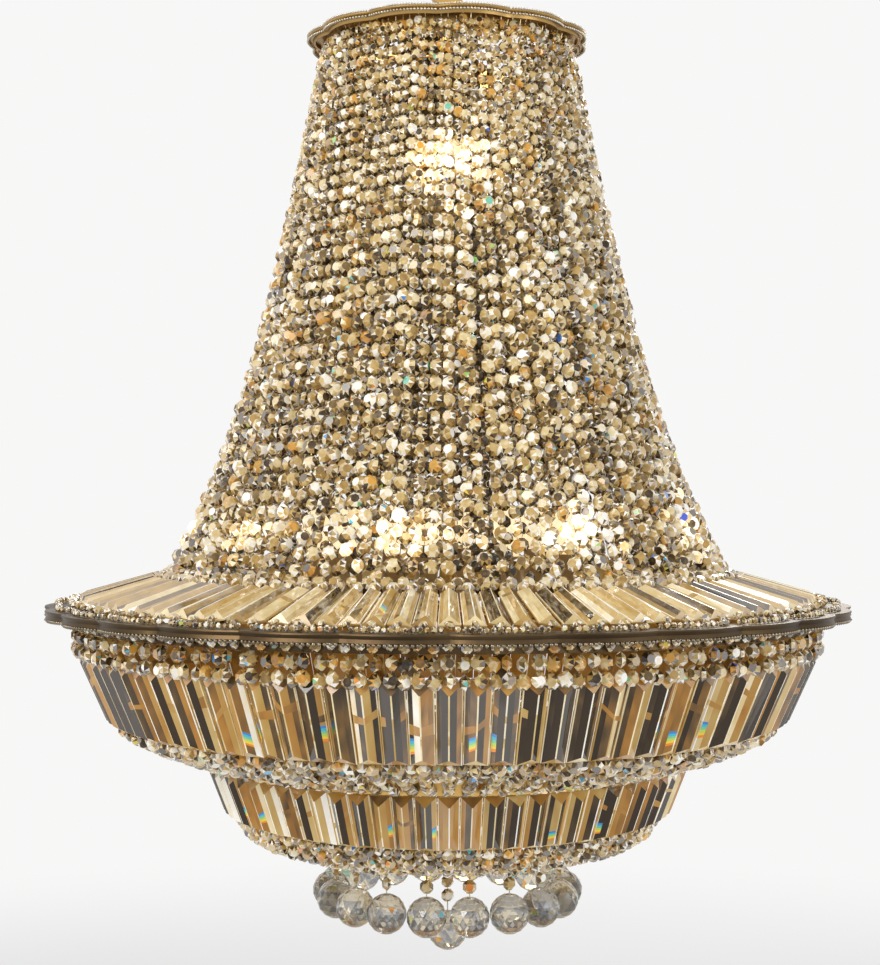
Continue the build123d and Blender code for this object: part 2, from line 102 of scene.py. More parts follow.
class Sheet:
    """The node sheet of a material or of the world."""

    def __init__(self, tree):
        self.tree = tree
        tree.nodes.clear()

    def node(self, kind, settings=(), sockets=(), output=0):
        """One node: its settings first, then a value or a wire for each socket named."""
        made = self.tree.nodes.new(kind)
        for name, value in dict(settings).items():
            if name == "stops":
                stops = made.color_ramp.elements
                for number, (place, colour) in enumerate(value):
                    stop = stops[number] if number < 2 else stops.new(place)
                    stop.position = place
                    stop.color = (*colour, 1)
            else:
                setattr(made, name, value)
        for name, value in dict(sockets).items():
            if isinstance(value, Wire):
                self.tree.links.new(value.socket, made.inputs[name])
            else:
                made.inputs[name].default_value = value
        return Wire(self, made.outputs[output])

    def mix(self, share, first, second):
        """The first colour, turning into the second as share goes from 0 to 1."""
        colours = {0: share, 6: first, 7: second}
        return self.node("ShaderNodeMix", {"data_type": "RGBA"}, colours, 2)


def finish(name):
    """An empty material and its sheet."""
    material = bpy.data.materials.new(name)
    material.use_nodes = True
    return material, Sheet(material.node_tree)


def close(sheet, surface, kind="ShaderNodeOutputMaterial"):
    """Join the finished shader to the sheet's output."""
    sheet.tree.links.new(surface.socket, sheet.tree.nodes.new(kind).inputs["Surface"])


print("wires and sheets are ready")

# %% [markdown]
# Cut crystal is clear, and what the eye reads is the difference from facet to facet: one
# shows the lamp, the next a dark corner of the room, the next the brass behind. A pure glass
# shader under even studio light turns all of them the same pale grey. So each facet carries a
# number, made with the mesh, and a ramp turns that number into painted reflections in the
# base colour, the tones of the lit stones: umber, olive, honey, champagne, cream and white. A
# number above one paints a rainbow glint, a facet that splits the light into colours. Part of
# the light still goes through the stone, and most finishes add a painted glow as emission.


# %% Crystal finishes
UMBER = (0.034, 0.021, 0.009)
BARK = (0.095, 0.060, 0.025)
OLIVE = (0.225, 0.145, 0.050)
AMBER = (0.44, 0.205, 0.036)
FLAME = (0.78, 0.40, 0.06)
HONEY = (0.50, 0.31, 0.085)
CHAMPAGNE = (0.62, 0.45, 0.185)
CREAM = (0.84, 0.70, 0.39)
WHITE = (0.97, 0.95, 0.88)
SLATE = (0.32, 0.32, 0.33)
SMOKE = (0.80, 0.69, 0.48)
CLEAR = (0.92, 0.87, 0.76)
RAINBOW = [
    (0.0, (0.06, 0.10, 0.62)),
    (0.25, (0.06, 0.50, 0.72)),
    (0.5, (0.30, 0.66, 0.16)),
    (0.7, (0.92, 0.78, 0.08)),
    (0.9, (0.90, 0.28, 0.03)),
]


def crystal(name, tones, stretch=(1, 1, 1), patchy=0.2, clear=0.3, glow=0.0, patches=220.0):
    """Faceted glass: painted reflections by facet and in patches, so many per metre; painted glow.
    """
    material, sheet = finish(name)
    facet = sheet.node("ShaderNodeAttribute", {"attribute_name": "facet"}, output="Fac")
    place = sheet.node("ShaderNodeTexCoord", output="Object")
    place = sheet.node("ShaderNodeVectorMath", {"operation": "MULTIPLY"}, {0: place, 1: stretch})
    cloud = sheet.node(
        "ShaderNodeTexNoise",
        {"noise_dimensions": "4D"},
        {"Vector": place, "W": facet * 40, "Scale": patches, "Detail": 1.0},
    )
    # The painted reflection: the facet's tone shifted by patches; above one, a painted rainbow
    # glint
    tone = facet + (cloud - 0.5) * (2 * patchy)
    plain = sheet.node("ShaderNodeValToRGB", {"stops": tones}, {"Fac": tone})
    split = sheet.node("ShaderNodeValToRGB", {"stops": RAINBOW}, {"Fac": facet - 1})
    splits = sheet.node("ShaderNodeMath", {"operation": "GREATER_THAN"}, {0: facet, 1: 1.0})
    colour = sheet.mix(splits, plain, split)
    glass = {
        "Base Color": colour,
        "Roughness": cloud * 0.08 + 0.01,
        "IOR": 1.54,
        "Transmission Weight": clear,
        "Specular IOR Level": 0.35,
        # A painted glow: the stones give light in their own colour, as if lit by the lamps inside
        "Emission Color": colour,
        "Emission Strength": glow,
    }
    close(sheet, sheet.node("ShaderNodeBsdfPrincipled", {}, glass))
    return material


bead_tones = [
    (0.0, UMBER),
    (0.10, BARK),
    (0.25, OLIVE),
    (0.45, HONEY),
    (0.62, CHAMPAGNE),
    (0.80, CREAM),
    (0.97, WHITE),
]
prism_tones = [
    (0.0, UMBER),
    (0.12, UMBER),
    (0.22, BARK),
    (0.36, AMBER),
    (0.50, HONEY),
    (0.64, CHAMPAGNE),
    (0.80, CREAM),
    (0.97, WHITE),
]
amber_tones = [
    (0.0, UMBER),
    (0.18, BARK),
    (0.36, AMBER),
    (0.60, FLAME),
    (0.80, HONEY),
    (0.97, CREAM),
]
ball_tones = [
    (0.0, SLATE),
    (0.25, SLATE),
    (0.45, SMOKE),
    (0.62, CLEAR),
    (0.74, FLAME),
    (0.86, CREAM),
    (0.97, WHITE),
]
# Each glow is a painted glow; the finish for beads in front of a lamp has the strongest, as painted
# lamp light
bead_crystal = crystal("bead_crystal", bead_tones, clear=0.18, glow=0.14)
amber_crystal = crystal("amber_crystal", amber_tones, clear=0.18, glow=0.14)
painted_glow_crystal = crystal("painted_glow_crystal", bead_tones, clear=0.2, glow=0.6)
basket_crystal = crystal("basket_crystal", bead_tones, clear=0.25, glow=0.10)
# The painted patches on the long stones are fewer, and drawn out along the stone
long_stone = {"patchy": 0.16, "patches": 70.0}
prism_crystal = crystal(
    "prism_crystal", prism_tones, stretch=(1, 1, 0.4), clear=0.10, glow=0.16, **long_stone
)
canopy_crystal = crystal(
    "canopy_crystal", bead_tones, stretch=(1, 1, 0.6), clear=0.2, glow=0.2, **long_stone
)
ball_crystal = crystal("ball_crystal", ball_tones, patchy=0.06, clear=0.88)
print("crystal finishes:", len([m for m in bpy.data.materials if "crystal" in m.name]))

# %% [markdown]
# The metal is brass sheet and strip, painted bright and gilt where the lamps reach it, as painted
# light, and darker brown on the rim.
# Old gilding is never even: it dulls in clouds, and its shine comes and goes with it.


# %% Metal finishes
def metal(name, bright, dull, rough, clouds=14.0):
    """Brass that dulls in clouds, so many per metre, with a fine brushed grain."""
    material, sheet = finish(name)
    place = sheet.node("ShaderNodeTexCoord", output="Object")
    cloudy = {"Vector": place, "Scale": clouds, "Detail": 5.0}
    cloud = sheet.node("ShaderNodeTexNoise", {}, cloudy)
    grain = sheet.node("ShaderNodeTexNoise", {}, {"Vector": place, "Scale": 420.0, "Detail": 2.0})
    bump = sheet.node("ShaderNodeBump", {}, {"Strength": 0.12, "Distance": 0.0004, "Height": grain})
    share = sheet.node("ShaderNodeClamp", {}, {"Value": cloud * 2.2 - 0.6})
    brass = {
        "Base Color": sheet.mix(share, (*bright, 1), (*dull, 1)),
        "Metallic": 1.0,
        "Roughness": cloud * 0.25 + grain * 0.08 + rough,
        "Normal": bump,
    }
    close(sheet, sheet.node("ShaderNodeBsdfPrincipled", {}, brass))
    return material


# One brass in three brightnesses: gilt_brass is painted light, as lit by the lamps, and old_gold
# and brown_brass are darker
gilt_brass = metal("gilt_brass", (0.80, 0.52, 0.17), (0.52, 0.31, 0.09), 0.14)
old_gold = metal("old_gold", (0.52, 0.335, 0.115), (0.27, 0.165, 0.058), 0.18)
brown_brass = metal("brown_brass", (0.115, 0.076, 0.038), (0.055, 0.036, 0.020), 0.26)
rim_rope = metal("rim_rope", (0.34, 0.28, 0.20), (0.12, 0.09, 0.055), 0.14, 70.0)
crown_rope = metal("crown_rope", (0.66, 0.61, 0.52), (0.36, 0.31, 0.24), 0.16, 70.0)
pin_wire = metal("pin_wire", (0.62, 0.50, 0.30), (0.35, 0.26, 0.14), 0.18, 60.0)
print("metal finishes: gilt_brass, old_gold, brown_brass, rim_rope, crown_rope, pin_wire")

# %% [markdown]
# The lamps stand inside and are lit. Only their glow is seen between the stones, so a lamp is
# a warm glass bulb that gives light itself, on a sleeve of old ivory.


# %% Lamp finishes
def lamp_glass_finish():
    """Lit warm glass, a little uneven."""
    material, sheet = finish("lamp_glass")
    place = sheet.node("ShaderNodeTexCoord", output="Object")
    cloud = sheet.node("ShaderNodeTexNoise", {}, {"Vector": place, "Scale": 30.0})
    warm = sheet.mix(cloud, (1.0, 0.86, 0.60, 1), (1.0, 0.76, 0.44, 1))
    lit = {"Base Color": warm, "Roughness": 0.25, "Emission Color": warm, "Emission Strength": 0.9}
    close(sheet, sheet.node("ShaderNodeBsdfPrincipled", {}, lit))
    return material


def sleeve_finish():
    """Old ivory card, yellowed in patches."""
    material, sheet = finish("lamp_sleeve")
    place = sheet.node("ShaderNodeTexCoord", output="Object")
    cloud = sheet.node("ShaderNodeTexNoise", {}, {"Vector": place, "Scale": 45.0, "Detail": 3.0})
    ivory = sheet.mix(cloud, (0.50, 0.34, 0.15, 1), (0.34, 0.21, 0.085, 1))
    card = {"Base Color": ivory, "Roughness": cloud * 0.2 + 0.35}
    close(sheet, sheet.node("ShaderNodeBsdfPrincipled", {}, card))
    return material


lamp_glass = lamp_glass_finish()
lamp_sleeve = sleeve_finish()
print("lamp finishes: lamp_glass, lamp_sleeve")

# %% [markdown]
# The metal nodes of the frame have the right shapes, so they stay and only take a finish.

# %% Finish the frame's own nodes
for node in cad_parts.values():
    for place in node.material_slots:
        place.material = gilt_brass
for name in ("rim_band", "rim_collar"):
    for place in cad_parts[name].material_slots:
        place.material = brown_brass
for name in ("crown_band", "basket_band", "upper_basket_ribs", "lower_basket_ribs"):
    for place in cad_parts[name].material_slots:
        place.material = old_gold
print("finished nodes:", len(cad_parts))

# %% [markdown]
# A stone's shape is made once as points and faces round its own middle: x across, y out to
# the viewer and z up the string. Thousands of copies are then set in place with numpy, which
# is far quicker than thousands of Blender objects, and each string or row becomes one mesh.
# The commonest stone is the octagon bead, a flat crystal with eight points round its girdle
# and a small table on each face. The table is turned, so the facets between are triangles.

# %% Octagon bead
dice = random.Random(7)
# Painted reflection tones: the star facets are painted dark and light by turns
PAINTED_DARK_FACET, PAINTED_LIGHT_FACET = 0.31, 0.60
TABLE_RADIUS = 0.28


def circle(radius, turns):
    """Points on a circle round the middle, at these directions in degrees."""
    turns = [math.radians(turn) for turn in turns]
    return [(math.cos(turn) * radius, math.sin(turn) * radius) for turn in turns]


def octagon_bead():
    """A 1 mm octagon stone, with facets painted dark and bright by turns, as painted reflections.
    """
    girdle = circle(0.5, [22.5 + 45 * k for k in range(8)])
    table = circle(TABLE_RADIUS, [45 * k + 45 for k in range(8)])
    points = [(x, 0, z) for x, z in girdle]
    points += [(x, y, z) for y in (1, -1) for x, z in table]
    faces, tones = [], []
    for side, base in ((1, 8), (-1, 16)):
        for k in range(8):
            after = (k + 1) % 8
            faces.append([k, after, base + k][::side])
            faces.append([after, base + after, base + k][::side])
            tones += [PAINTED_DARK_FACET, PAINTED_LIGHT_FACET]
        faces.append([base + k for k in range(8)][::side])
        tones.append((PAINTED_DARK_FACET + PAINTED_LIGHT_FACET) / 2)
    return np.array(points), faces, tones


BEAD = octagon_bead()
print("facets of an octagon bead:", len(BEAD[1]))

# %% [markdown]
# The canopy and the baskets are long prisms, flat at the back and cut to a ridge in front, with
# a triangle at each end. A plain glass bar shows nothing in even light. So the front is cut
# into upright strips and each strip into panes of painted reflection: dark ones painted as the
# room seen in them, amber ones painted as the brass behind, a bent bar painted where a brass
# band shows, and now and then a painted patch of rainbow. The lines at the edges and along the
# ridge are painted highlights. As faces of the mesh they stay on the stone from every side.

# %% Panes of a prism
# Edges of the strips as shares of the half width: a painted highlight line at each side and
# along the ridge, with an outer and an inner pane between
STRIP_EDGES = (-1, -0.92, -0.56, -0.06, 0.06, 0.56, 0.92, 1)
STRIPS = len(STRIP_EDGES) - 1
# Thickness of the stone at its sides, as a share of its depth at the ridge
EDGE_THICKNESS = 0.16


def painted_pane_tone(bright):
    """The painted reflection on one pane: mostly the amber brass behind, now and then a lamp."""
    draw = dice.random()
    if draw < 0.14:
        return dice.uniform(0.08, 0.2)
    if draw < 0.76:
        return min(1.0, dice.uniform(0.20, 0.44) + bright)
    if draw < 0.94:
        return min(1.0, dice.uniform(0.46, 0.66) + bright)
    return dice.uniform(0.80, 1.0)


def prism_front(length, width, depth, end, flare, cuts, slant):
    """The front's points: one at every cut along every strip edge."""
    side, edge = width / 2, depth * EDGE_THICKNESS
    points = []
    for across in STRIP_EDGES:
        share = 1 - abs(across)
        top, foot = -end * share, end * share - length
        for cut in cuts:
            height = top + (foot - top) * cut + slant * across * side * math.sin(math.pi * cut)
            wide = 1 - flare * height / length
            points.append((across * side * wide, edge + (depth - edge) * share, height))
    return points


print("strips across a prism:", STRIPS)

# %% [markdown]
# Each prism is cut anew, because the real ones stand at slightly different angles and no two
# show the same. Chance says how bright each painted strip is, whether the two inner panes are
# painted dark, and whether a painted bar or rainbow patch crosses the stone. The patch is cut
# in thin slices, so its colours run on from slice to slice.

# %% Ridged prism
PAINTED_HIGHLIGHT_LINES, PANES, INNER_PANES = (0, 3, 6), (1, 2, 4, 5), (2, 4)
RAINBOW_SLICES, SLICE = 6, 0.035
PAINTED_DARK_PANE = 0.04
# Share of stones whose two inner panes are painted dark, or not, together
BOTH_ALIKE = 0.7


def ridged_prism(
    length, width, depth, end, flare=0.0, bright=0.0, dark=0.36, rainbow=0.16, bar=0.6
):
    """A long stone with a ridge down its face; its back is at y = 0.

    The last three numbers are the shares of stones with painted dark panes, with a painted
    rainbow patch, and with a painted bar across. The stone widens to its foot by flare.
    """
    cuts = [0.0, 1.0]
    bar_start, bar_height = dice.gauss(0.34, 0.08), dice.uniform(0.06, 0.14)
    with_bar = dice.random() < bar
    if with_bar:
        cuts += [bar_start, bar_start + bar_height]
    rainbow_start = dice.uniform(0.52, 0.70)
    with_rainbow = dice.random() < rainbow
    if with_rainbow:
        cuts += [rainbow_start + SLICE * k for k in range(RAINBOW_SLICES + 1)]
    cuts.sort()
    slant = dice.gauss(0, 0.5)
    points = prism_front(length, width, depth, end, flare, cuts, slant)
    pair = dice.random() < dark
    alike = dice.random() < BOTH_ALIKE
    painted_dark_panes = [pair, pair] if alike else [dice.random() < dark, dice.random() < dark]
    bar_tone = dice.uniform(0.34, 0.50)
    rainbow_strip = dice.choice(PANES)
    rows = len(cuts)
    faces, tones = [], []
    for strip in range(STRIPS):
        low, high = strip * rows, (strip + 1) * rows
        whole = painted_pane_tone(bright)
        for row in range(rows - 1):
            faces.append([low + row, low + row + 1, high + row + 1, high + row])
            middle = (cuts[row] + cuts[row + 1]) / 2
            step = (middle - rainbow_start) / (SLICE * RAINBOW_SLICES)
            # Painted reflections: highlight lines, dark panes, a rainbow glint and a brass bar
            if strip in PAINTED_HIGHLIGHT_LINES:
                tone = 0.62 + 0.3 * math.sin(9 * middle + strip) ** 2
            elif strip in INNER_PANES and painted_dark_panes[strip // 4]:
                tone = PAINTED_DARK_PANE
            elif with_rainbow and strip == rainbow_strip and 0 < step < 1:
                tone = 1.02 + 0.96 * step
            elif with_bar and 0 < middle - bar_start < bar_height:
                tone = bar_tone
            else:
                tone = whole
            tones.append(tone)
    faces.append([edge * rows for edge in range(STRIPS + 1)])
    faces.append([edge * rows + rows - 1 for edge in range(STRIPS + 1)][::-1])
    tones += [dice.uniform(0.25, 0.5), dice.uniform(0.40, 0.75)]
    back, right = len(points), STRIPS * rows
    side, foot_side = width / 2, width / 2 * (1 + flare)
    points += [(-side, 0, 0), (side, 0, 0), (foot_side, 0, -length), (-foot_side, 0, -length)]
    faces.append([back + 3, back + 2, back + 1, back])
    faces.append([back, back + 1, right, 0])
    faces.append([back + 2, back + 3, rows - 1, right + rows - 1])
    faces.append([back + 1, back + 2] + [right + row for row in range(rows)][::-1])
    faces.append([back + 3, back] + [row for row in range(rows)])
    tones += [0.4, 0.5, 0.5, 0.6, 0.6]
    return np.array(points), faces, tones


print("length of a rainbow patch, as a share:", round(RAINBOW_SLICES * SLICE, 2))

# %% [markdown]
# The hanging balls are clear crystal, cut all over in small triangles. Blender's own spheres
# aren't cut like that, so the rows are made here, each turned by half a facet against the one
# above. A ball turns what is behind it upside down, and its facets carry that as a painted
# reflection: smoky above, blue-grey in the middle and with amber sparks low down.

# %% Cut ball
BALL_ROWS, BALL_FACETS = 9, 14
# The painted blue-grey band reaches this far above and below the middle of a 1 mm ball
PAINTED_BALL_BAND = 0.2


def painted_ball_tone(height):
    """The painted reflection on a ball's facet at this height, from -0.5 to 0.5."""
    draw = dice.random()
    if height > PAINTED_BALL_BAND:
        return dice.uniform(0.40, 0.60)
    if height > -PAINTED_BALL_BAND:
        return dice.uniform(0.05, 0.25) if draw < 0.55 else dice.uniform(0.40, 0.60)
    return dice.uniform(0.70, 0.90) if draw < 0.35 else dice.uniform(0.42, 0.62)


def cut_ball(rows=BALL_ROWS, around=BALL_FACETS):
    """A 1 mm ball cut in rows of triangles."""
    points = [(0, 0, 0.5)]
    for row in range(1, rows):
        level = math.pi * row / rows
        for k in range(around):
            turn = 2 * math.pi * (k + row / 2) / around
            wide = math.sin(level) / 2
            points.append((wide * math.cos(turn), wide * math.sin(turn), math.cos(level) / 2))
    points.append((0, 0, -0.5))
    faces = [[0, 1 + k, 1 + (k + 1) % around] for k in range(around)]
    for row in range(rows - 2):
        top, low = 1 + row * around, 1 + (row + 1) * around
        for k in range(around):
            after = (k + 1) % around
            faces.append([top + k, low + k, top + after])
            faces.append([top + after, low + k, low + after])
    low = 1 + (rows - 2) * around
    faces += [[low + k, len(points) - 1, low + (k + 1) % around] for k in range(around)]
    tones = [painted_ball_tone(sum(points[corner][2] for corner in face) / 3) for face in faces]
    return np.array(points), faces, tones


print("facets round a ball:", BALL_FACETS, "rows:", BALL_ROWS)

# %% [markdown]
# The edges of the collars end in a rope of seed beads, some hundreds of them side by side. A
# rope could be one notched tube, but in the photograph each bead has its own spark. They are
# tiny, so a few faces and smooth shading are enough.

# %% Seed bead
SEED_FACETS = 6
# Metal takes its colour from its own finish, so all its faces carry one middle tone
METAL_TONE = 0.5


def seed_bead(around=SEED_FACETS):
    """A tiny 1 mm bead."""
    ring = circle(0.5, [360 * k / around for k in range(around)])
    points = [(0, 0, 0.5), *[(x, y, 0) for x, y in ring], (0, 0, -0.5)]
    faces = [[0, 1 + k, 1 + (k + 1) % around] for k in range(around)]
    faces += [[1 + (k + 1) % around, 1 + k, around + 1] for k in range(around)]
    return np.array(points), faces, [METAL_TONE] * len(faces)


SEED = seed_bead()
print("faces of a seed bead:", len(SEED[1]))

# %% [markdown]
# Heap gathers stones, pins and wires and turns them into one piece. Each face keeps a tone and
# the place of its finish in the piece's list, so a string and its pins are one mesh.

# %% Gather stones into pieces
# Places in a piece's list of finishes: its main one, its pins, and two more kinds of stone
MAIN, PINS, SECOND, THIRD = range(4)
# A bead has a few facets painted bright, as glints of a lamp, and a few painted dark, as shade
PAINTED_GLINT_SHARE, PAINTED_SHADE_SHARE = 0.10, 0.05
PAINTED_GLINT_TONES, PAINTED_SHADE_TONES = (0.86, 1.0), (0.04, 0.14)
# From a bead's middle to its table, as a share of its width
BEAD_DEPTH = 0.27
PIN_RADIUS = 0.45
# A slanting direction that wires rarely follow, from which a wire's sides are laid out
OFF_AXIS = Vector((0.31, 0.47, 0.83))


class Heap:
    """Stones and wires that become one mesh, with a tone for each facet."""

    def __init__(self):
        self.points, self.faces, self.facets, self.kinds = [], [], [], []
        self.count = 0

    def set(
        self, shape, middle, axes, size=(1, 1, 1), kind=MAIN, bright=0.0, spread=0.0, glint=0.0
    ):
        """One stone: tones shift by bright and by chance; a few facets are painted glints, shade or
        rainbow.
        """
        points, faces, tones = shape
        self.points.append(np.asarray(middle) + (points * np.asarray(size)) @ np.asarray(axes))
        self.faces += [[self.count + corner for corner in face] for face in faces]
        for tone in tones:
            draw = dice.random()
            if draw < glint:
                tone = 1 + dice.random()
            elif spread and draw < PAINTED_GLINT_SHARE:
                tone = dice.uniform(*PAINTED_GLINT_TONES)
            elif spread and draw > 1 - PAINTED_SHADE_SHARE:
                tone = dice.uniform(*PAINTED_SHADE_TONES)
            elif tone <= 1:
                tone = min(1.0, max(0.0, tone + bright + dice.uniform(-spread, spread)))
            self.facets.append(tone)
        self.kinds += [kind] * len(faces)
        self.count += len(points)

    def bead(self, middle, axes, size, kind=MAIN, bright=0.0, spread=0.34, glint=0.004):
        """An octagon bead, as deep as about half its width."""
        deep = size * BEAD_DEPTH
        self.set(BEAD, middle, axes, (size, deep, size), kind, bright, spread, glint)

    def plain(self, points, faces, kind=MAIN, middle=(0, 0, 0)):
        """A shape of metal or of one tone."""
        points = np.array([tuple(point) for point in points])
        self.set((points, faces, [METAL_TONE] * len(faces)), middle, np.eye(3), kind=kind)

    def wire(self, route, radius=PIN_RADIUS, sides=4, closed=False):
        """A round wire along a route of points."""
        route = [Vector(point) for point in route]
        rings = []
        last = len(route) - 1
        for number, point in enumerate(route):
            before = route[number - 1] if number or closed else point
            after = route[(number + 1) % len(route)] if number < last or closed else point
            way = (after - before).normalized()
            side = way.cross(OFF_AXIS).normalized()
            if side.length < 0.5:
                side = way.orthogonal().normalized()
            up = side.cross(way)
            for k in range(sides):
                turn = 2 * math.pi * k / sides
                aside, above = radius * math.cos(turn), radius * math.sin(turn)
                rings.append(point + side * aside + up * above)
        faces = []
        for number in range(len(route) if closed else last):
            low, high = number * sides, (number + 1) % len(route) * sides
            for k in range(sides):
                after = (k + 1) % sides
                faces.append([low + k, low + after, high + after, high + k])
        if not closed:
            faces += [[k for k in range(sides)][::-1], [last * sides + k for k in range(sides)]]
        self.plain(rings, faces, PINS)

    def piece(self, name, finishes, slot, body, *nodes, smooth=False):
        """One mesh that rides on a body and stands for the named nodes of the frame."""
        mesh = bpy.data.meshes.new(name)
        mesh.from_pydata((np.vstack(self.points) * MM).tolist(), [], self.faces)
        mesh.attributes.new("facet", "FLOAT", "FACE").data.foreach_set("value", self.facets)
        for material in finishes:
            mesh.materials.append(material)
        mesh.polygons.foreach_set("material_index", self.kinds)
        mesh.polygons.foreach_set("use_smooth", [smooth] * len(self.kinds))
        shown = bpy.data.objects.new(name, mesh)
        bpy.context.collection.objects.link(shown)
        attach(shown, body)
        if nodes:
            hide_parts(*nodes)


print("depth of a 10 mm bead in mm:", round(2 * BEAD_DEPTH * 10, 1))

# %% [markdown]
# Everything hangs in rings round the stem. So a place is given as a direction in degrees, a
# radius and a height, and a stone there is turned to face outward and to follow its string.


# %% Places round the stem
def round_stem(turn, radius, height):
    """The point at this direction in degrees, radius and height."""
    turn = math.radians(turn)
    return np.array([radius * math.cos(turn), radius * math.sin(turn), height])


def axes_at(turn, fall, spin=0.0):
    """Across, out and up a string that runs down along fall, its step out and its step down."""
    out = round_stem(turn, 1, 0)
    length = math.hypot(*fall)
    up = (-fall[0] * out + np.array([0, 0, fall[1]])) / length
    face = fall[1] / length * out + np.array([0, 0, fall[0] / length])
    across = np.cross(face, up)
    turned = math.radians(spin)
    return [
        across * math.cos(turned) + face * math.sin(turned),
        face * math.cos(turned) - across * math.sin(turned),
        up,
    ]


print("up a plumb string:", axes_at(0, (0, 1))[2])

# %% [markdown]
# The curtain: strings of octagon beads hang from the crown and flare out to the rim's canopy.
# One smooth sheet with a bead pattern would be quicker, but the outline of the real curtain is
# a row of bead points, and light comes through between them. The beads are smaller at the
# crown, where the strings crowd. Beads in front of a lamp are painted with its light.

# %% Sizes of the curtain
FRONT = -90.0
CURTAIN_HEAD = (126.1, -66.0)
CURTAIN_FOOT = (277.0, -586.0)
# The line from head to foot: its straight share, its flared share, and how late the flare is
STRAIGHT, FLARED, FLARE_POWER = 0.68, 0.32, 3.9
SMALL_BEAD, FULL_BEAD = 10.0, 14.5
BEAD_GROWTH = 2.2
BEAD_GAP = 1.2
CURVE_STEPS = 1400
RIM_LAMPS = [FRONT - 9.0 + 36 * arm for arm in range(10)]
UPPER_LAMPS = [FRONT, FRONT + 120, FRONT + 240]
# The patch of painted lamp light on the beads in front of a lamp: its height, its reach up and
# down, and to each side in degrees
UPPER_PAINTED_PATCH, RIM_PAINTED_PATCH = (-205, 34, 13), (-546, 20, 9)


def hang(share):
    """Radius and height of a string's outer edge: straight at first, then flared."""
    spread = STRAIGHT * share + FLARED * share**FLARE_POWER
    head, foot = CURTAIN_HEAD, CURTAIN_FOOT
    return head[0] + (foot[0] - head[0]) * spread, head[1] + (foot[1] - head[1]) * share


def string_stops(stagger):
    """Shares of the way down at which the beads of one string sit, with their sizes."""
    stops, run = [], 0.0
    size = SMALL_BEAD
    wait = 0.5 + stagger * (size + BEAD_GAP)
    previous = hang(0)
    for step in range(1, CURVE_STEPS + 1):
        share = step / CURVE_STEPS
        here = hang(share)
        run += math.dist(previous, here)
        previous = here
        if run >= wait:
            stops.append((share, size))
            grown = min(FULL_BEAD, SMALL_BEAD + (FULL_BEAD - SMALL_BEAD) * share * BEAD_GROWTH)
            wait = run + (size + grown) / 2 + BEAD_GAP
            size = grown
    return stops


def near(turn, turns, width):
    """1 where this direction is that of a lamp, falling to 0 over the width in degrees."""
    apart = min(abs((turn - lamp + 180) % 360 - 180) for lamp in turns)
    return math.exp(-((apart / width) ** 2))


def painted_lamp_light(turn, height):
    """How much painted lamp light a bead here takes, from 0 to 1."""
    light = 0.0
    for lamps, (level, reach, width) in ((UPPER_LAMPS, UPPER_PAINTED_PATCH), (RIM_LAMPS, RIM_PAINTED_PATCH)):
        patch = near(turn, lamps, width) * math.exp(-(((height - level) / reach) ** 2))
        light = max(light, patch)
    return light


print("beads on a string:", len(string_stops(0)))

# %% [markdown]
# The beads twist on their pins, so a flat stone shows now its face and now its edge. The real
# room is dark, and shows as dark upright gaps between the strings. In a pale studio the gaps
# would be white. So a second layer of strings, painted darker as shade, hangs behind the gaps
# of the first, each hooked to its neighbour in front. It starts a little lower, because the
# crown has no room for it.

# %% String the curtain
STRINGS = 108
STRINGS_PER_PIECE = 18
BEAD_INSET = 2.5
# The first bead starts by chance up to this share of a bead's step lower
STAGGER = 0.8
# Strings never hang evenly: degrees by which a string is set aside and bows, and by which a
# bead is off its line and twists, and how far it stands in or out
STRING_SHIFT, STRING_BOW, BEAD_SHIFT, BEAD_TWIST, BEAD_STAND = 0.2, 0.3, 0.08, 52, 0.6
# How much one string differs from the next, a bead from its string, and what painted lamp light
# adds
STRING_TONE, BEAD_TONE, PAINTED_LAMP_FILL = (0.06, 0.09), 0.13, 0.55
# Amber stones: their share all over, and how many more there are close under the crown
AMBER_SHARE, CROWN_AMBER, CROWN_REACH = 0.07, 0.35, 7
# The second layer of strings hangs behind the gaps of the first, and its painted shade darkens them
LAYER_START, LAYER_DEPTH, LAYER_BEAD, LAYER_PAINTED_SHADE = 0.025, 7.0, 13.0, 0.44


def fall_at(share):
    """The step out and the step down of the curtain's line here."""
    above, below = hang(max(0, share - 0.01)), hang(min(1, share + 0.01))
    return below[0] - above[0], above[1] - below[1]


def string(heap, turn, depth, stops, painted_shade=0.0):
    """One string: beads at their stops, joined by pins, this deep behind the curtain's face."""
    bow = dice.gauss(0, STRING_BOW)
    # The second layer's strings are painted darker here, as painted shade
    own = dice.gauss(*STRING_TONE) - painted_shade
    head, height = hang(stops[0][0])
    last = round_stem(turn, head - depth, height + stops[0][1])
    for share, size in stops:
        radius, height = hang(share)
        drift = bow * math.sin(math.pi * share) + dice.gauss(0, BEAD_SHIFT)
        middle = round_stem(turn + drift, radius - depth + dice.gauss(0, BEAD_STAND), height)
        axes = axes_at(turn, fall_at(share), dice.gauss(0, BEAD_TWIST))
        # Beads in front of a lamp are painted with its light: brighter, and some take the glowing
        # finish
        light = painted_lamp_light(turn + drift, height)
        amber = AMBER_SHARE + CROWN_AMBER * max(0, 1 - CROWN_REACH * share)
        kind = THIRD if dice.random() < amber else MAIN
        kind = SECOND if dice.random() < light else kind
        bright = dice.gauss(own, BEAD_TONE) + PAINTED_LAMP_FILL * light
        heap.bead(middle, axes, size, kind, bright, glint=0.005)
        heap.wire([last, middle + axes[2] * size / 2])
        last = middle - axes[2] * size / 2
    return len(stops)


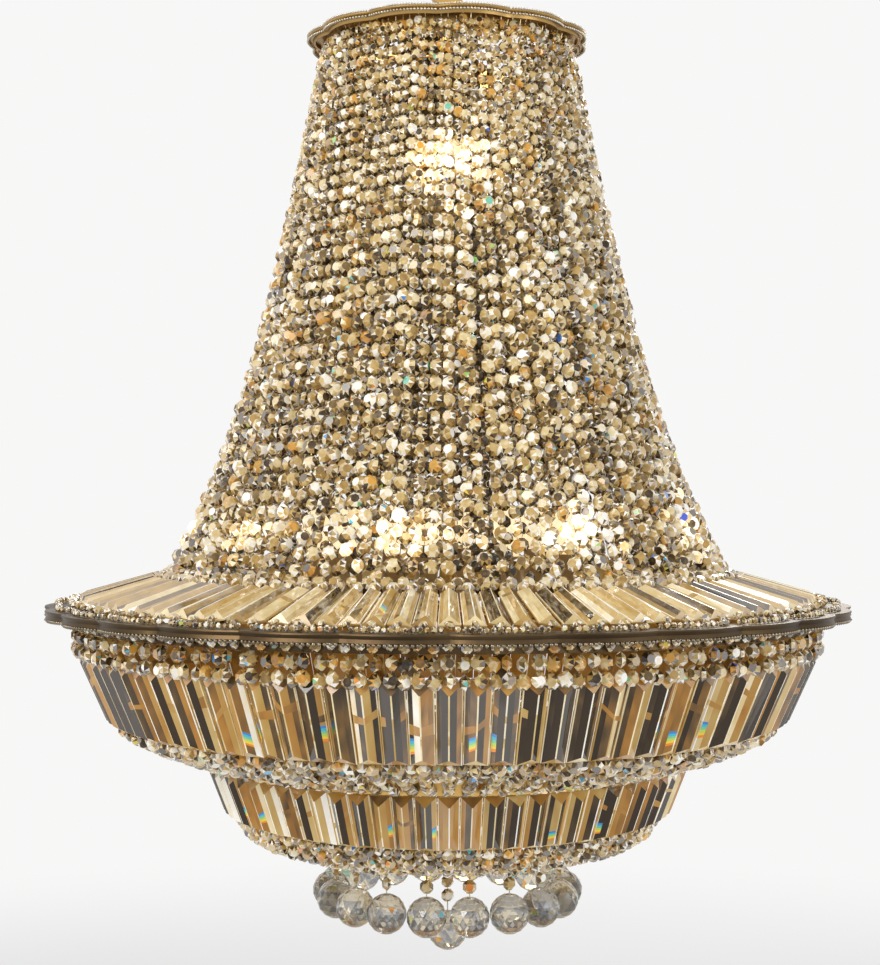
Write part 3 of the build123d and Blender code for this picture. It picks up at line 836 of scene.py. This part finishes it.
bead_count = 0
finishes = [bead_crystal, pin_wire, painted_glow_crystal, amber_crystal]
for part in range(STRINGS // STRINGS_PER_PIECE):
    heap = Heap()
    for place in range(STRINGS_PER_PIECE):
        number = part * STRINGS_PER_PIECE + place
        turn = FRONT + number * 360 / STRINGS + dice.gauss(0, STRING_SHIFT)
        between, inset = turn + 180 / STRINGS, LAYER_DEPTH + BEAD_INSET
        bead_count += string(heap, turn, BEAD_INSET, string_stops(dice.uniform(0, STAGGER)))
        stops = string_stops(dice.uniform(0, STAGGER))
        stops = [(share, min(size, LAYER_BEAD)) for share, size in stops if share > LAYER_START]
        bead_count += string(heap, between, inset, stops, LAYER_PAINTED_SHADE)
        radius, height = hang(stops[0][0])
        beside = round_stem(turn, radius - BEAD_INSET, height + FULL_BEAD)
        behind = round_stem(between, radius - BEAD_INSET - LAYER_DEPTH, height + LAYER_BEAD)
        heap.wire([beside, behind])
    node = f"curtain_strands_{part + 1}"
    heap.piece(node + "_beads", finishes, "crystal", "frame", node)
print("curtain beads:", bead_count)

# %% [markdown]
# The canopy: 112 long stones slope from the curtain's foot out to the rim, with two beads at
# the head and a small one at the foot of each. A ring of them is cheap as copies of one stone,
# but then all of them show the same painted panes and catch the light alike, so each is cut
# anew and a little turned.

# %% Canopy
CANOPY_HEAD = (275.0, -595.3)
CANOPY_FOOT = (373.5, -622.7)
CANOPY_COLUMNS = 112
CANOPY_BEAD, CANOPY_TIP = 13.0, 9.0
CANOPY_WIDTH, CANOPY_DEPTH, CANOPY_END, CANOPY_FLARE = 14.6, 8.0, 5.0, 0.30
# How far things lie above the slope: beads on a column, beads between, stones and the wire
BEAD_RISE, BETWEEN_RISE, STONE_RISE, WIRE_RISE = 4.5, 5.5, 0.8, 3.5
# The beads between two columns sit just above the head of the slope
BETWEEN_START = -1.5
canopy_fall = (CANOPY_FOOT[0] - CANOPY_HEAD[0], CANOPY_HEAD[1] - CANOPY_FOOT[1])
canopy_run = math.hypot(*canopy_fall)
canopy_length = canopy_run - CANOPY_BEAD - CANOPY_TIP - 2
canopy_cut = (canopy_length, CANOPY_WIDTH, CANOPY_DEPTH, CANOPY_END, CANOPY_FLARE)


def along(head, fall, run, distance, rise=0.0):
    """Radius and height at a distance down a slope, lifted off it by rise."""
    out, down = fall[0] / run, fall[1] / run
    return head[0] + out * distance + down * rise, head[1] - down * distance + out * rise


def on_canopy(turn, distance, rise):
    """The point at this direction, this far down the canopy and this far above it."""
    return round_stem(turn, *along(CANOPY_HEAD, canopy_fall, canopy_run, distance, rise))


heap = Heap()
bead_places = ((CANOPY_BEAD / 2, CANOPY_BEAD), (canopy_run - CANOPY_TIP / 2, CANOPY_TIP))
for column in range(CANOPY_COLUMNS):
    turn = FRONT + column * 360 / CANOPY_COLUMNS
    for distance, size in bead_places:
        axes = axes_at(turn, canopy_fall, dice.gauss(0, 30))
        heap.bead(on_canopy(turn, distance, BEAD_RISE), axes, size, SECOND, bright=0.12)
    axes = axes_at(turn, (0.5, 1), dice.gauss(0, 40))
    place = on_canopy(turn + 180 / CANOPY_COLUMNS, BETWEEN_START, BETWEEN_RISE)
    heap.bead(place, axes, CANOPY_BEAD, SECOND, bright=0.05)
    axes = axes_at(turn, canopy_fall, dice.gauss(0, 7))
    stone = ridged_prism(*canopy_cut, bright=0.14, dark=0.18, rainbow=0.03, bar=0.1)
    place = on_canopy(turn, CANOPY_BEAD + 1.0, STONE_RISE)
    heap.set(stone, place, axes, bright=dice.gauss(0.02, 0.12))
    heap.wire([on_canopy(turn, distance, WIRE_RISE) for distance in (1.0, canopy_run - 1.0)])
finishes = [canopy_crystal, pin_wire, basket_crystal]
heap.piece("canopy_stones", finishes, "crystal", "frame", "canopy_prisms")
print("canopy stones:", 4 * CANOPY_COLUMNS)

# %% [markdown]
# The upper basket starts with rows of octagon beads under the rim. On the real one they are a
# loose jumble, so they get a wide spread of tones and twists, and every second one sits a
# little further in and lower. A band of one height would look like a printed strip.

# %% Upper basket beads
UPPER_COLUMNS = 96
upper_turns = [FRONT + column * 360 / UPPER_COLUMNS for column in range(UPPER_COLUMNS)]
RIM_Z = -625.0
BAND_FACE = 371.9
BEAD_RADIUS = 366.6
ROW_HEIGHTS = (-633.4, -648.0, -662.3)
# Beads between two columns sit this much further in and lower
BETWEEN_INSET, BETWEEN_DROP = 3.5, 2.0
ROW_AMBER = 0.22
heap = Heap()
for half_column in range(2 * UPPER_COLUMNS):
    turn = FRONT + half_column * 180 / UPPER_COLUMNS
    between = half_column % 2
    last = round_stem(turn, BAND_FACE, RIM_Z)
    for row, height in enumerate(ROW_HEIGHTS):
        radius, size, twist = (BEAD_RADIUS - BETWEEN_INSET * between, 14.0, 42)
        if row == 0:
            radius, size, twist = (BAND_FACE, 10.5, 15)
        turned = turn + dice.gauss(0, 0.15)
        middle = round_stem(turned, radius, height - BETWEEN_DROP * between)
        axes = axes_at(turn, (0, 1), dice.gauss(0, twist))
        kind = SECOND if dice.random() < ROW_AMBER else MAIN
        bright = dice.gauss(-0.04, 0.2)
        heap.bead(middle, axes, size, kind, bright, spread=0.4, glint=0.02)
        heap.wire([last, middle + [0, 0, size / 2]], 0.5)
        last = middle - [0, 0, size / 2]
basket_finishes = [basket_crystal, pin_wire, amber_crystal]
name, node = "upper_basket_bead_rows", "upper_basket_beads"
heap.piece(name, basket_finishes, "crystal", "frame", node)
print("upper basket beads:", 6 * UPPER_COLUMNS)

# %% [markdown]
# Under each column hangs a long prism that leans in to the mid ring. It is held at head and
# foot and hardly turns. The lower basket has the same stones in a smaller size, so one helper
# makes a ring of either.


# %% Prisms of the baskets
def prism_row(name, node, turns, head, lean, cut, bright, own):
    """A ring of prisms that lean in; own is how their tones differ: their middle and spread."""
    lean = math.radians(lean)
    fall = (-math.sin(lean), math.cos(lean))
    heap = Heap()
    for turn in turns:
        axes = axes_at(turn, fall, dice.gauss(0, 4))
        stone = ridged_prism(*cut, bright=bright)
        heap.set(stone, round_stem(turn, *head), axes, bright=dice.gauss(*own))
    heap.piece(name, [prism_crystal], "crystal", "frame", node)
    print(name, len(turns))


# A cut: length, width, depth, height of the end triangles, and flare
UPPER_CUT, LOWER_CUT = (78.0, 22.6, 8.8, 9.0, -0.07), (54.0, 19.6, 8.8, 7.0, -0.07)
prism_row(
    "upper_basket_prism_row",
    "upper_basket_prisms",
    upper_turns,
    head=(359.6, -663.7),
    lean=24,
    cut=UPPER_CUT,
    bright=0.0,
    own=(-0.05, 0.05),
)

# %% [markdown]
# From the foot of each prism a run of beads sags in to the next ring, and a shorter one hangs
# between two columns. A run follows a few measured points rather than a hanging chain's curve,
# because the brass ribs behind hold it up. Near the ring the columns crowd, so the beads there
# are no wider than their column.


# %% Bead runs under the baskets
RUN_AMBER = 0.12
# The gap from bead to bead, and how much wider than its column a bead may be
RUN_GAP, CROWDED = 0.6, 1.1


def bead_run(heap, turn, route, widest, columns):
    """Beads along a bent line of radii and heights, none wider than its column is there."""
    lengths = [math.dist(start, end) for start, end in zip(route, route[1:])]
    count = max(1, round(sum(lengths) / widest))
    last = round_stem(turn, *route[0])
    for step in range(count):
        distance = sum(lengths) * (step + 0.5) / count
        for start, end, run in zip(route, route[1:], lengths):
            if distance <= run:
                break
            distance -= run
        fall = (end[0] - start[0], start[1] - end[1])
        place = along(start, fall, run, distance)
        room = CROWDED * 2 * math.pi * place[0] / columns
        size = min(widest, sum(lengths) / count - RUN_GAP, room)
        middle = round_stem(turn, *place)
        axes = axes_at(turn, fall, dice.gauss(0, 34))
        kind = SECOND if dice.random() < RUN_AMBER else MAIN
        bright = dice.gauss(-0.03, 0.16)
        heap.bead(middle, axes, size, kind, bright, spread=0.38, glint=0.015)
        heap.wire([last, middle + axes[2] * size / 2])
        last = middle - axes[2] * size / 2
    heap.wire([last, round_stem(turn, *route[-1])])


def bead_runs(name, node, turns, long_run, long_bead, short_run, short_bead):
    """A long run of beads at each column, and a short one between two columns."""
    heap = Heap()
    columns = len(turns)
    for turn in turns:
        bead_run(heap, turn, long_run, long_bead, columns)
        bead_run(heap, turn + 180 / columns, short_run, short_bead, columns)
    heap.piece(name, basket_finishes, "crystal", "frame", node)
    print(name, 2 * columns)


UPPER_RUN = [(326.5, -736.0), (320.0, -743.5), (293.0, -756.0), (270.0, -764.5), (236.0, -774.0)]
UPPER_BETWEEN = [(325.0, -736.0), (317.0, -741.0), (285.0, -755.0)]
node = "upper_basket_chains"
bead_runs("upper_basket_bead_runs", node, upper_turns, UPPER_RUN, 14.5, UPPER_BETWEEN, 13.5)

# %% [markdown]
# The lower basket repeats the upper one on a smaller ring, with shorter prisms, and its beads
# sag in to the bottom ring. So the same helpers make it from other numbers.

# %% Lower basket
LOWER_COLUMNS = 72
lower_turns = [FRONT + column * 360 / LOWER_COLUMNS for column in range(LOWER_COLUMNS)]
prism_row(
    "lower_basket_prism_row",
    "lower_basket_prisms",
    lower_turns,
    head=(233.3, -778.3),
    lean=21.2,
    cut=LOWER_CUT,
    bright=0.05,
    own=(0.02, 0.06),
)

LOWER_RUN = [(212.5, -829.0), (199.0, -849.0), (171.0, -859.5), (120.0, -865.0)]
LOWER_BETWEEN = [(211.0, -829.0), (194.0, -848.0), (176.0, -855.0)]
node = "lower_basket_chains"
bead_runs("lower_basket_bead_runs", node, lower_turns, LOWER_RUN, 13.5, LOWER_BETWEEN, 12.5)

# %% [markdown]
# The balls hang free under the bottom ring, each by a wire hook, an octagon bead and a pin.
# They are the moving parts, so each one is a piece of its own that rides on its own body. The
# middle ball hangs lower, on two beads.

# %% Hanging balls
RING_DROPS = 18
PIVOT_RADIUS, PIVOT_Z, CENTRE_PIVOT_Z = 116.8, -870.0, -890.4
RING_LENGTH, CENTRE_LENGTH = 43.0, 63.5
RING_BALL, CENTRE_BALL = 19.2, 19.8
HOOK_REACH, HOOK_HALF, HOOK_RADIUS = 6.4, 2.85, 0.6
# Below the pivot the beads begin; a bead's middle and its pin are measured from there
BEADS_START, BEAD_MIDDLE, BEAD_STEP = 7.3, 7.0, 14.3
DROP_BEAD, DROP_PIN = 13.8, (6.5, 8.2)
# The ball's own pin starts just under its skin and ends inside the bead above
UNDER_SKIN, INTO_BEAD = 0.96, 1.2


def hook_route(turn, radius, height):
    """A closed loop of wire round a bar: a half round above it and one at its foot."""
    above = circle(HOOK_HALF, range(0, 181, 30))
    side = [(radius + out, height + up) for out, up in above]
    side += [(radius - out, height + (HOOK_HALF - HOOK_REACH - up)) for out, up in above]
    return [round_stem(turn, *place) for place in side]


def drop(node, body, turn, radius, height, length, ball, beads):
    """A hook, its beads and pins, and a ball whose middle is this far below the pivot."""
    heap = Heap()
    heap.wire(hook_route(turn, radius, height), HOOK_RADIUS, sides=6, closed=True)
    top = height - BEADS_START
    for row in range(beads):
        middle = round_stem(turn, radius, top - BEAD_MIDDLE - row * BEAD_STEP)
        heap.bead(middle, axes_at(turn, (0, 1), dice.gauss(0, 20)), DROP_BEAD, glint=0.02)
        heap.wire([middle + [0, 0, end] for end in DROP_PIN], 0.6)
    centre = round_stem(turn, radius, height - length)
    pin_top = round_stem(turn, radius, top - beads * BEAD_STEP + INTO_BEAD)
    heap.wire([centre + [0, 0, ball * UNDER_SKIN], pin_top], 0.7)
    axes = axes_at(turn, (0, 1), dice.uniform(0, 360))
    heap.set(cut_ball(), centre, axes, (2 * ball, 2 * ball, 2 * ball), kind=SECOND, glint=0.02)
    finishes = [basket_crystal, pin_wire, ball_crystal]
    heap.piece(node + "_crystal", finishes, "clear_crystal", body, node)


for number in range(1, RING_DROPS + 1):
    turn = FRONT + (number - 0.5) * 360 / RING_DROPS
    node, body = f"ball_drop_{number:02d}", f"drop_{number:02d}"
    drop(node, body, turn, PIVOT_RADIUS, PIVOT_Z, RING_LENGTH, RING_BALL, 1)
drop("centre_drop", "centre_drop", FRONT, 0, CENTRE_PIVOT_Z, CENTRE_LENGTH, CENTRE_BALL, 2)
print("hanging balls:", RING_DROPS + 1)

# %% [markdown]
# The two collars are scalloped sheets. Each is a profile carried round the lobed outline: a
# point of the profile is a share of the way from the band out to the edge, how far it is set
# in from the edge, and its height. Every strip between two points has its own vertices, so
# it is smooth round the collar and sharp along its folds. A rope of small beads ends each.


# %% Scalloped outlines
def lobe_line(edge, inset, bends):
    """Points along a lobed edge, set in from it, at these bends from -0.5 to 0.5 of a lobe."""
    count, first_turn, cusp_radius, rise = edge
    half = math.radians(180 / count)
    reach = cusp_radius * math.sin(half)
    lobe_radius = (reach**2 + rise**2) / (2 * rise)
    middle = cusp_radius * math.cos(half) + rise - lobe_radius
    swing = 2 * math.atan(rise / reach)
    points = []
    for lobe in range(count):
        turn = math.radians(first_turn + lobe * 360 / count)
        along_turn, across_turn = math.cos(turn), math.sin(turn)
        for bend in bends:
            x = middle + (lobe_radius - inset) * math.cos(2 * swing * bend)
            y = (lobe_radius - inset) * math.sin(2 * swing * bend)
            points.append((x * along_turn - y * across_turn, x * across_turn + y * along_turn))
    return points


def cusp_to_cusp(steps):
    """Bends for a sheet, which needs the cusps."""
    return [k / steps - 0.5 for k in range(steps + 1)]


def side_by_side(count):
    """Bends for a row of beads, with none on a cusp."""
    return [(k + 0.5) / count - 0.5 for k in range(count)]


def collar(name, node, edge, bore, profile, finish_metal, slot):
    """A scalloped sheet from the bore of its band out to the lobed edge."""
    heap = Heap()
    for strip in zip(profile, profile[1:] + profile[:1]):
        points = []
        for share, inset, height in strip:
            for x, y in lobe_line(edge, inset, cusp_to_cusp(12)):
                out = math.hypot(x, y)
                scale = (bore + (out - bore) * share) / out
                points.append((x * scale, y * scale, height))
        around, faces = len(points) // 2, []
        for k in range(around):
            after = (k + 1) % around
            faces.append([k, after, around + after, around + k])
        heap.plain(points, faces)
    heap.piece(name, [finish_metal], slot, "frame", node, smooth=True)


def rope(name, edge, inset, height, size, per_lobe, finish_metal, slot):
    """Small beads along a lobed edge: how far set in, at what height, how large, and how many."""
    heap = Heap()
    for x, y in lobe_line(edge, inset, side_by_side(per_lobe)):
        heap.set(SEED, (x, y, height), np.eye(3), (size, size, size))
    heap.piece(name, [finish_metal], slot, "frame", smooth=True)
    print(name, edge[0] * per_lobe)


# %% [markdown]
# The crown's collar has 12 shallow lobes of old gilt brass. It is seen from below, so its
# profile has a small hanging lip, and a rope of beads runs under its edge and another on top.

# %% Crown collar
# A lobed edge: the count of its lobes, the direction of the first, the radius of the cusps
# between them and how far they rise above it
CROWN_EDGE = (12, FRONT + 11.0, 137.0, 10.5)
CROWN_BORE = 119.5
crown_profile = [
    (0, 0, -60.0),
    (1, 10.0, -60.6),
    (1, 9.4, -64.0),
    (1, 7.6, -64.6),
    (1, 6.4, -61.4),
    (1, 2.2, -60.4),
    (1, 1.0, -59.4),
    (1, 1.4, -58.0),
    (0, 0, -58.0),
]
name, node = "crown_collar_sheet", "crown_collar"
collar(name, node, CROWN_EDGE, CROWN_BORE, crown_profile, old_gold, "brass")
rope("crown_bead_rope", CROWN_EDGE, 2.2, -62.0, 3.6, 22, crown_rope, "brass")
rope("crown_upper_bead_rope", CROWN_EDGE, 2.2, -57.0, 3.0, 26, crown_rope, "brass")

# %% [markdown]
# The rim's collar is wider, with 28 lobes of dark brown brass and a beaded lower edge. Small
# stones of mixed sizes lie on it in a row, turned by chance, as stones set by hand are.

# %% Rim collar, with its row of small stones
RIM_EDGE = (28, FRONT + 180 / 28, 393.0, 9.5)
RIM_BORE = 365.0
RIM_TOP = -623.0
rim_profile = [
    (0, 0, -625.0),
    (1, 3.6, -625.2),
    (1, 3.6, -630.2),
    (1, 2.0, -630.5),
    (1, 3.2, -627.4),
    (1, 1.4, -624.4),
    (1, 1.9, -623.2),
    (1, 9.0, RIM_TOP),
    (0, 0, RIM_TOP),
]
name, node = "rim_collar_sheet", "rim_collar"
collar(name, node, RIM_EDGE, RIM_BORE, rim_profile, brown_brass, "dark_brass")
rope("rim_bead_rope", RIM_EDGE, 3.3, -631.8, 4.8, 20, rim_rope, "dark_brass")

STONE_INSET, STONES_PER_LOBE, STONE_SIZES = 13.0, 14, (4.6, 6.4)
heap = Heap()
stone_line = lobe_line(RIM_EDGE, STONE_INSET, side_by_side(STONES_PER_LOBE))
for x, y in stone_line:
    turn = math.degrees(math.atan2(y, x))
    axes = axes_at(turn + dice.gauss(0, 20), (0, 1), 0)
    size = dice.uniform(*STONE_SIZES)
    place = (x, y, RIM_TOP + size / 2)
    heap.bead(place, axes, size, bright=dice.gauss(-0.1, 0.2), spread=0.45, glint=0.02)
heap.piece("rim_small_stones", [canopy_crystal], "crystal", "frame")
print("small stones on the rim:", len(stone_line))

# %% [markdown]
# The lamps are turned shapes, so each is made as a profile swung round its axis. Only their
# glow shows through the stones, so a sleeve with a collar and a plain bulb are enough.

# %% Lamps
# Above its collar a sleeve is narrower, by this share
SLEEVE_COLLAR = 0.8
# A bulb's profile: shares of its height and of its radius
BULB_SHAPE = ((0, 0.42), (0.1, 0.5), (0.3, 0.82), (0.5, 0.98))
BULB_SHAPE += ((0.65, 0.96), (0.8, 0.78), (0.93, 0.45), (1, 0.12))
BULB_FULLNESS = 0.86


def lathe(heap, middle, profile, around=20):
    """A turned shape: the profile gives radius and height."""
    points, faces = [], []
    for radius, height in profile:
        for k in range(around):
            turn = 2 * math.pi * k / around
            points.append((radius * math.cos(turn), radius * math.sin(turn), height))
    for row in range(len(profile) - 1):
        for k in range(around):
            after = (k + 1) % around
            low, high = row * around, (row + 1) * around
            faces.append([low + k, low + after, high + after, high + k])
    faces += [[k for k in range(around)][::-1], [len(points) - around + k for k in range(around)]]
    heap.plain(points, faces, middle=middle)


def lamp_set(names, nodes, turns, circle_radius, foot, sleeve, bulb):
    """Sleeves and bulbs on a circle, from this foot up; both give a radius and a height."""
    sleeves, bulbs = Heap(), Heap()
    narrow = sleeve[0] * SLEEVE_COLLAR
    sleeve_profile = [(sleeve[0], 0.2), (sleeve[0], 2.0), (narrow, 3.0), (narrow, sleeve[1])]
    bulb_profile = []
    for share, width in BULB_SHAPE:
        bulb_profile.append((bulb[0] * width * BULB_FULLNESS, bulb[1] * share))
    for turn in turns:
        place = round_stem(turn, circle_radius, foot)
        lathe(sleeves, place, sleeve_profile)
        lathe(bulbs, place + [0, 0, sleeve[1]], bulb_profile)
    sleeves.piece(names[0], [lamp_sleeve], "lamp_sleeve", "frame", nodes[0], smooth=True)
    bulbs.piece(names[1], [lamp_glass], "lamp_glass", "frame", nodes[1], smooth=True)
    print("lamps:", len(turns))


names, nodes = ("rim_lamp_sleeves", "rim_lamp_bulbs"), ("lamp_holders", "bulbs")
lamp_set(names, nodes, RIM_LAMPS, 130.0, -630.5, (13.0, 58.0), (20.0, 46.0))
names, nodes = ("upper_lamp_sleeves", "upper_lamp_bulbs"), ("upper_lamp_holders", "upper_bulbs")
lamp_set(names, nodes, UPPER_LAMPS, 30.0, -220.0, (11.0, 30.0), (17.0, 40.0))

# %% [markdown]
# The studio: a pale floor well below the chandelier that fades into a white surround, and
# three large soft lamps. The surround is white to the camera and to what glass and metal
# show, and gives the object itself only a soft even light.

# %% Surround and floor
SURROUND = (0.93, 0.93, 0.925, 1)
EVEN_LIGHT = (0.92, 0.94, 1.0, 1)
FLOOR_Z, FLOOR_SIZE = -1.55, 9.0
FLOOR_FADE = {"From Min": 1.0, "From Max": 3.2}


def seen_directly(sheet):
    """1 for rays that show the background: camera, mirror and glass rays."""
    kinds = ("Camera", "Glossy", "Transmission")
    rays = [sheet.node("ShaderNodeLightPath", output=f"Is {kind} Ray") for kind in kinds]
    return sheet.node("ShaderNodeClamp", {}, {"Value": rays[0] + rays[1] + rays[2]})


def blend(sheet, share, first, second):
    """The first shader, turning into the second as share goes from 0 to 1."""
    return sheet.node("ShaderNodeMixShader", {}, {0: share, 1: first, 2: second})


world = bpy.data.worlds.new("studio")
world.use_nodes = True
bpy.context.scene.world = world
sheet = Sheet(world.node_tree)
even = sheet.node("ShaderNodeBackground", {}, {"Color": EVEN_LIGHT, "Strength": 0.45})
white = sheet.node("ShaderNodeBackground", {}, {"Color": SURROUND, "Strength": 1.0})
close(sheet, blend(sheet, seen_directly(sheet), even, white), "ShaderNodeOutputWorld")

floor_finish, sheet = finish("floor")
place = sheet.node("ShaderNodeTexCoord", output="Object")
distance = sheet.node("ShaderNodeVectorMath", {"operation": "LENGTH"}, {0: place}, "Value")
fade = {"Value": distance, **FLOOR_FADE}
far = sheet.node("ShaderNodeMapRange", {"interpolation_type": "SMOOTHSTEP"}, fade)
matt = sheet.node("ShaderNodeBsdfDiffuse", {}, {"Color": (0.80, 0.80, 0.79, 1)})
glow = sheet.node("ShaderNodeEmission", {}, {"Color": SURROUND, "Strength": 1.0})
close(sheet, blend(sheet, far * seen_directly(sheet), matt, glow))

floor_mesh = bpy.data.meshes.new("floor")
corners = [(x * FLOOR_SIZE, y * FLOOR_SIZE, 0) for x, y in ((-1, -1), (1, -1), (1, 1), (-1, 1))]
floor_mesh.from_pydata(corners, [], [[0, 1, 2, 3]])
floor_mesh.materials.append(floor_finish)
floor = bpy.data.objects.new("floor", floor_mesh)
floor.location = (0, 0, FLOOR_Z)
bpy.context.collection.objects.link(floor)
print("floor at", FLOOR_Z)

# %% [markdown]
# Small lamps would put hard sparks and black shadows on thousands of facets. Three wide discs
# light the stones softly: a warm one from the front left, a weaker one from the right, and one
# from behind that picks out the edges.

# %% Soft lamps
LIT_POINT = Vector((0, 0, -0.5))


def soft_lamp(name, place, size, watts, colour):
    """A round soft lamp that looks at the middle of the chandelier."""
    light = bpy.data.lights.new(name, "AREA")
    light.shape = "DISK"
    light.size = size
    light.energy = watts
    light.color = colour
    lamp = bpy.data.objects.new(name, light)
    lamp.location = place
    lamp.rotation_euler = (LIT_POINT - Vector(place)).to_track_quat("-Z", "Y").to_euler()
    bpy.context.collection.objects.link(lamp)


soft_lamp("key", (-1.9, -2.3, 0.9), 1.4, 60, (1.0, 0.97, 0.92))
soft_lamp("fill", (2.4, -1.9, -0.3), 1.8, 28, (0.95, 0.97, 1.0))
soft_lamp("back", (0.6, 2.6, 0.9), 1.6, 36, (1.0, 0.98, 0.95))
bpy.context.scene.view_settings.view_transform = "Standard"
print("studio lit")
